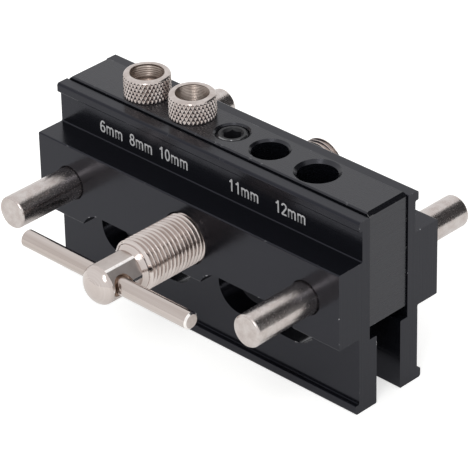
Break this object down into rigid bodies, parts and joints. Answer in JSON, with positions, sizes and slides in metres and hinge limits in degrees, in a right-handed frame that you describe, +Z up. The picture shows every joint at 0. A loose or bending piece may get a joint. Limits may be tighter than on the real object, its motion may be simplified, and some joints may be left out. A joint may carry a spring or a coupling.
{
  "type": "self centering doweling jig",
  "caption": "Drill guide block between two jaws that a left and right hand screw closes evenly on a board, with knurled screw-in drill bushes.",
  "frame": {"origin": "middle of the guide block's underside, the face that stops against the edge of the board, on the centre plane between the jaws", "axes": "+X along the row of drill holes, from the bush holes towards the plain holes; +Y from the front jaw, on the side of the domed head, to the rear jaw; +Z up, along the drill holes and away from the board"},
  "size_m": [0.12, 0.1028, 0.0706],
  "materials": {
    "black_anodised_block": "black anodised, satin",
    "black_anodised_jaw": "black anodised extrusion, sawn and milled ends",
    "ground_rod": "hardened, ground and nickel plated",
    "nickel_screw": "turned and nickel plated",
    "nickel_bar": "drawn bar, nickel plated",
    "nickel_bush": "hardened, knurled head, nickel plated",
    "black_oxide_steel": "black oxide"
  },
  "bodies": {
    "block": {"guide_block": "black_anodised_block", "left_guide_rod": "ground_rod", "right_guide_rod": "ground_rod", "retaining_screw": "black_oxide_steel"},
    "front_jaw_body": {"front_jaw": "black_anodised_jaw"},
    "rear_jaw_body": {"rear_jaw": "black_anodised_jaw"},
    "screw": {"lead_screw": "nickel_screw"},
    "bar": {"tommy_bar": "nickel_bar"},
    "bush_6mm": {"drill_bush_6mm": "nickel_bush"},
    "bush_10mm": {"drill_bush_10mm": "nickel_bush"}
  },
  "joints": [
    {"name": "screw_turn", "type": "hinge", "parent": "block", "child": "screw", "pos_m": [0, 0, 0.0106], "axis": [0, -1, 0], "range_deg": [0, 5280]},
    {"name": "front_jaw_slide", "type": "slide", "parent": "block", "child": "front_jaw_body", "axis": [0, -1, 0], "range_m": [0, 0.0221]},
    {"name": "rear_jaw_slide", "type": "slide", "parent": "block", "child": "rear_jaw_body", "axis": [0, 1, 0], "range_m": [0, 0.0221]},
    {"name": "tommy_bar_slide", "type": "slide", "parent": "screw", "child": "bar", "axis": [1, 0, 0], "range_m": [-0.0255, 0.027]},
    {"name": "bush_6mm_lift", "type": "slide", "parent": "block", "child": "bush_6mm", "axis": [0, 0, 1], "range_m": [0, 0.026]},
    {"name": "bush_10mm_lift", "type": "slide", "parent": "block", "child": "bush_10mm", "axis": [0, 0, 1], "range_m": [0, 0.026]}
  ],
  "couplings": [
    {"joint": "front_jaw_slide", "follows": "screw_turn", "m_per_rad": 0.00023873},
    {"joint": "rear_jaw_slide", "follows": "screw_turn", "m_per_rad": 0.00023873}
  ]
}
